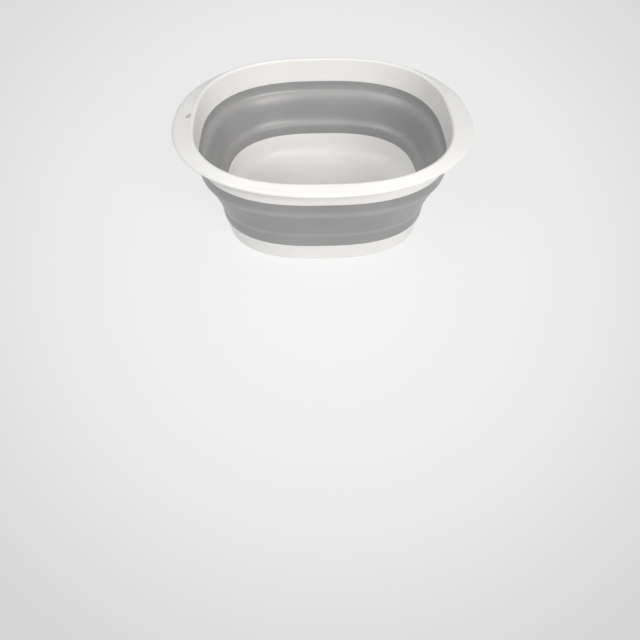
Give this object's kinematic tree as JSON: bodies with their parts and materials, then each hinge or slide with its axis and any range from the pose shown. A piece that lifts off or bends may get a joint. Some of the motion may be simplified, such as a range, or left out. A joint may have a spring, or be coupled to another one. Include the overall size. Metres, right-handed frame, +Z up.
{
  "type": "collapsible wash basin",
  "caption": "Oval wash basin with a wide plastic rim, a soft wall that folds flat when the rim is pushed down, and a plastic base tray.",
  "frame": {"origin": "middle of the foot's underside, on the surface that the basin stands on", "axes": "+X along the basin's length, +Y across it, +Z up out of its mouth"},
  "size_m": [0.4, 0.33, 0.154],
  "materials": {
    "rim_plastic": "satin white polypropylene",
    "wall_rubber": "matt grey thermoplastic elastomer",
    "tray_plastic": "satin white polypropylene"
  },
  "bodies": {
    "base": {"base_tray": "tray_plastic", "lower_wall_band": "wall_rubber"},
    "rim": {"rim_frame": "rim_plastic", "upper_wall_band": "wall_rubber"},
    "hoop_1": {"fold_hoop_1": "wall_rubber"},
    "hoop_2": {"fold_hoop_2": "wall_rubber"},
    "hoop_3": {"fold_hoop_3": "wall_rubber"},
    "hoop_4": {"fold_hoop_4": "wall_rubber"},
    "hoop_5": {"fold_hoop_5": "wall_rubber"},
    "hoop_6": {"fold_hoop_6": "wall_rubber"},
    "hoop_7": {"fold_hoop_7": "wall_rubber"},
    "hoop_8": {"fold_hoop_8": "wall_rubber"}
  },
  "joints": [
    {"name": "collapse", "type": "slide", "parent": "base", "child": "rim", "axis": [0, 0, -1], "range_m": [0, 0.098]},
    {"name": "fold_1", "type": "slide", "parent": "base", "child": "hoop_1", "axis": [0, 0, -1], "range_m": [0, 0.09187]},
    {"name": "fold_2", "type": "slide", "parent": "base", "child": "hoop_2", "axis": [0, 0, -1], "range_m": [0, 0.07963]},
    {"name": "fold_3", "type": "slide", "parent": "base", "child": "hoop_3", "axis": [0, 0, -1], "range_m": [0, 0.06738]},
    {"name": "fold_4", "type": "slide", "parent": "base", "child": "hoop_4", "axis": [0, 0, -1], "range_m": [0, 0.05513]},
    {"name": "fold_5", "type": "slide", "parent": "base", "child": "hoop_5", "axis": [0, 0, -1], "range_m": [0, 0.04288]},
    {"name": "fold_6", "type": "slide", "parent": "base", "child": "hoop_6", "axis": [0, 0, -1], "range_m": [0, 0.03062]},
    {"name": "fold_7", "type": "slide", "parent": "base", "child": "hoop_7", "axis": [0, 0, -1], "range_m": [0, 0.01837]},
    {"name": "fold_8", "type": "slide", "parent": "base", "child": "hoop_8", "axis": [0, 0, -1], "range_m": [0, 0.00613]}
  ],
  "couplings": [
    {"joint": "fold_1", "follows": "collapse", "ratio": 0.9375},
    {"joint": "fold_2", "follows": "collapse", "ratio": 0.8125},
    {"joint": "fold_3", "follows": "collapse", "ratio": 0.6875},
    {"joint": "fold_4", "follows": "collapse", "ratio": 0.5625},
    {"joint": "fold_5", "follows": "collapse", "ratio": 0.4375},
    {"joint": "fold_6", "follows": "collapse", "ratio": 0.3125},
    {"joint": "fold_7", "follows": "collapse", "ratio": 0.1875},
    {"joint": "fold_8", "follows": "collapse", "ratio": 0.0625}
  ]
}
